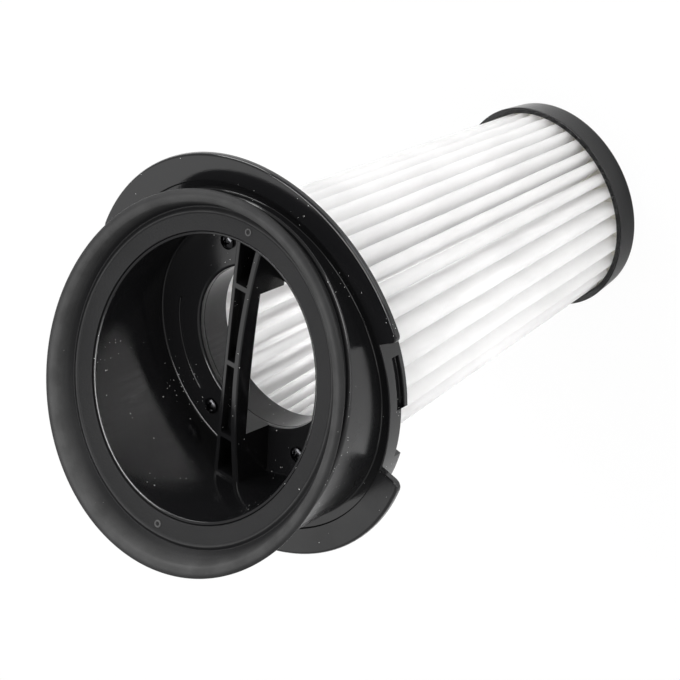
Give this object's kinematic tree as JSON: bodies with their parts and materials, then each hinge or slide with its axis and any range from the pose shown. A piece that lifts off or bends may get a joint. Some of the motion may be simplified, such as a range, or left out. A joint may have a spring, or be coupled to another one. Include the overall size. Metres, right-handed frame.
{
  "type": "vacuum filter",
  "caption": "Conical pleated cartridge filter with a black bayonet flange, an oblique funnel mouth with a soft rubber seal, and a ladder-shaped handle across its throat.",
  "frame": {"origin": "centre of the end cap's end face, on which the filter stands", "axes": "+Z along the axis of the pleated pack, from the end cap to the flange; the mouth leans towards -Y; the handle runs along Y"},
  "size_m": [0.1058, 0.11, 0.1612],
  "materials": {
    "head_plastic": "glossy moulded black",
    "seal_rubber": "matte soft black",
    "ring_plastic": "glossy moulded black",
    "screw_steel": "dark plated",
    "potting_resin": "poured resin",
    "filter_paper": "matte white fleece",
    "cap_plastic": "satin moulded black"
  },
  "bodies": {
    "root": {"head": "head_plastic", "mouth_seal": "seal_rubber", "pack_ring": "ring_plastic", "ring_screws": "screw_steel", "top_potting": "potting_resin", "pleated_media": "filter_paper", "base_potting": "potting_resin", "end_cap": "cap_plastic"}
  },
  "joints": []
}
